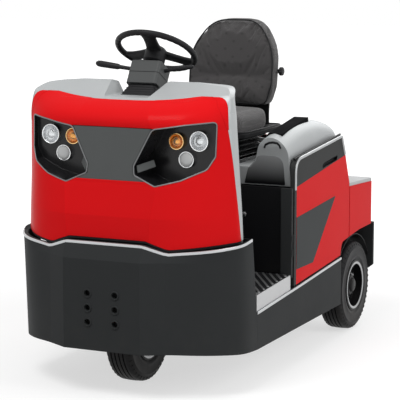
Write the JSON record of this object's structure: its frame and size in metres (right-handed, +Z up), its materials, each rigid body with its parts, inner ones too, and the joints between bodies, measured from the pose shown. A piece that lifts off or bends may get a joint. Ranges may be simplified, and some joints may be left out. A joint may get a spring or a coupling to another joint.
{
  "type": "airport baggage tug",
  "caption": "Sit-on electric tow tractor with a rounded lamp-lit nose, low step-through floor, sprung seat over a battery box, steered single front wheel and rear tow jaw.",
  "frame": {"origin": "on the ground under the middle of the overall box", "axes": "+Z up, -Y the way it drives, +X its left side"},
  "size_m": [0.988, 1.89, 1.4279],
  "materials": {
    "red_paint": "satin",
    "red_moulding": "gloss",
    "dark_grey_paint": "satin",
    "frame_paint": "satin",
    "grey_moulding": "satin",
    "silver_moulding": "satin",
    "black_moulding": "satin",
    "lamp_lens": "gloss",
    "amber_lens": "gloss",
    "red_lens": "gloss",
    "aluminium": "brushed",
    "seat_fabric": "woven",
    "tyre": "matt",
    "rim_paint": "satin",
    "cast_black": "satin",
    "bare_steel": "satin",
    "battery_case": "satin"
  },
  "bodies": {
    "chassis": {"front_bumper": "dark_grey_paint", "side_sills": "dark_grey_paint", "chassis_frame": "frame_paint", "floor_pan": "frame_paint", "step_plates": "aluminium", "front_cowl": "red_moulding", "visor_panel": "grey_moulding", "lamp_pods": "black_moulding", "headlamps": "lamp_lens", "position_lamps": "lamp_lens", "indicator_lamps": "amber_lens", "dash_shell": "silver_moulding", "nose_back_panel": "black_moulding", "steering_column": "grey_moulding", "column_levers": "black_moulding", "pedals": "black_moulding", "battery_box": "frame_paint", "battery": "battery_case", "corner_posts": "dark_grey_paint", "seat_hood": "silver_moulding", "console_trays": "black_moulding", "seat_suspension": "black_moulding", "seat_frame": "frame_paint", "seat_cushion": "seat_fabric", "seat_back": "seat_fabric", "seat_knob": "black_moulding", "rear_body": "red_paint", "rear_deck": "silver_moulding", "rear_bulkhead": "red_paint", "rear_bumper": "dark_grey_paint", "tail_lamps": "red_lens", "tow_coupling": "cast_black", "coupling_pin": "bare_steel", "rear_axle": "frame_paint"},
    "steer": {"steer_fork": "frame_paint"},
    "front_wheel": {"front_tyre": "tyre", "front_rim": "rim_paint"},
    "rear_wheel_left": {"rear_tyre_left": "tyre", "rear_rim_left": "rim_paint"},
    "rear_wheel_right": {"rear_tyre_right": "tyre", "rear_rim_right": "rim_paint"},
    "hand_wheel": {"steering_wheel": "black_moulding"},
    "door_left": {"battery_door_left": "red_paint", "door_band_left": "grey_moulding"},
    "door_right": {"battery_door_right": "red_paint", "door_band_right": "grey_moulding"}
  },
  "joints": [
    {"name": "steer_turn", "type": "hinge", "parent": "chassis", "child": "steer", "pos_m": [0, -0.625, 0.44], "axis": [0, 0, 1], "range_deg": [-75, 75]},
    {"name": "front_wheel_spin", "type": "hinge", "parent": "steer", "child": "front_wheel", "pos_m": [0, -0.625, 0.203], "axis": [1, 0, 0], "continuous": true},
    {"name": "rear_wheel_left_spin", "type": "hinge", "parent": "chassis", "child": "rear_wheel_left", "pos_m": [0.425, 0.618, 0.203], "axis": [1, 0, 0], "continuous": true},
    {"name": "rear_wheel_right_spin", "type": "hinge", "parent": "chassis", "child": "rear_wheel_right", "pos_m": [-0.425, 0.618, 0.203], "axis": [1, 0, 0], "continuous": true},
    {"name": "hand_wheel_turn", "type": "hinge", "parent": "chassis", "child": "hand_wheel", "pos_m": [0, -0.457, 1.323], "axis": [0, 0.506, 0.8625], "range_deg": [-450, 450]},
    {"name": "door_left_swing", "type": "hinge", "parent": "chassis", "child": "door_left", "pos_m": [0.49, -0.173, 0.6], "axis": [0, 0, -1], "range_deg": [0, 95]},
    {"name": "door_right_swing", "type": "hinge", "parent": "chassis", "child": "door_right", "pos_m": [-0.49, -0.173, 0.6], "axis": [0, 0, 1], "range_deg": [0, 95]}
  ],
  "couplings": [
    {"joint": "hand_wheel_turn", "follows": "steer_turn", "ratio": 6}
  ]
}
